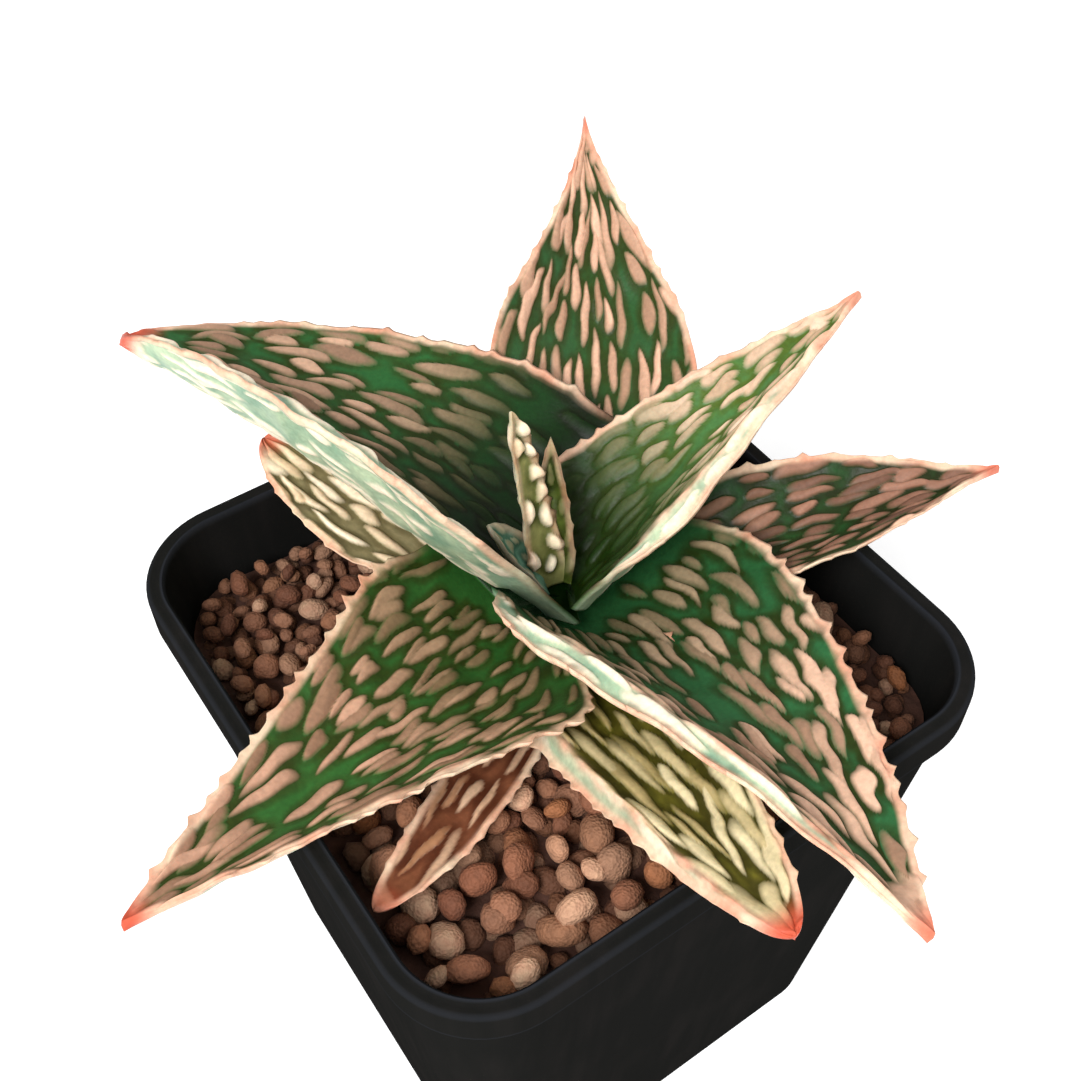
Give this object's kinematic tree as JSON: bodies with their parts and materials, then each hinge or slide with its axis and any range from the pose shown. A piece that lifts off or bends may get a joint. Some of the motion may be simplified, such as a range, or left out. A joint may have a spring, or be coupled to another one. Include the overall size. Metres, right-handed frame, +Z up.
{
  "type": "potted aloe plant",
  "caption": "Small aloe rosette with long raised pale bumps on toothed green leaves, in a black square plastic pot filled with red-brown clay granules.",
  "frame": {"origin": "centre of the pot's underside, on the surface it stands on", "axes": "+Z up; +X and +Y square to the pot's walls"},
  "size_m": [0.1157, 0.1147, 0.116],
  "materials": {
    "pot_plastic": "satin",
    "granules": "matte",
    "stem": "matte",
    "leaf": "satin",
    "heart_leaf": "satin",
    "dried_leaf": "matte"
  },
  "bodies": {
    "root": {"pot": "pot_plastic", "granule_bed": "granules", "stem": "stem", "leaf_heart_tall": "heart_leaf", "leaf_heart_small": "heart_leaf", "leaf_heart_green": "heart_leaf", "leaf_left_high": "leaf", "leaf_right_high": "leaf", "leaf_back": "leaf", "leaf_front_right": "leaf", "leaf_front_left": "leaf", "leaf_right_low": "leaf", "leaf_left_low": "leaf", "leaf_front": "leaf", "leaf_dried": "dried_leaf", "granule_01": "granules", "granule_02": "granules", "granule_03": "granules", "granule_04": "granules", "granule_05": "granules", "granule_06": "granules", "granule_07": "granules", "granule_08": "granules", "granule_09": "granules", "granule_10": "granules", "granule_11": "granules", "granule_12": "granules", "granule_13": "granules", "granule_14": "granules", "granule_15": "granules", "granule_16": "granules", "granule_17": "granules", "granule_18": "granules", "granule_19": "granules", "granule_20": "granules", "granule_21": "granules", "granule_22": "granules", "granule_23": "granules", "granule_24": "granules", "granule_25": "granules", "granule_26": "granules", "granule_27": "granules", "granule_28": "granules"}
  },
  "joints": []
}
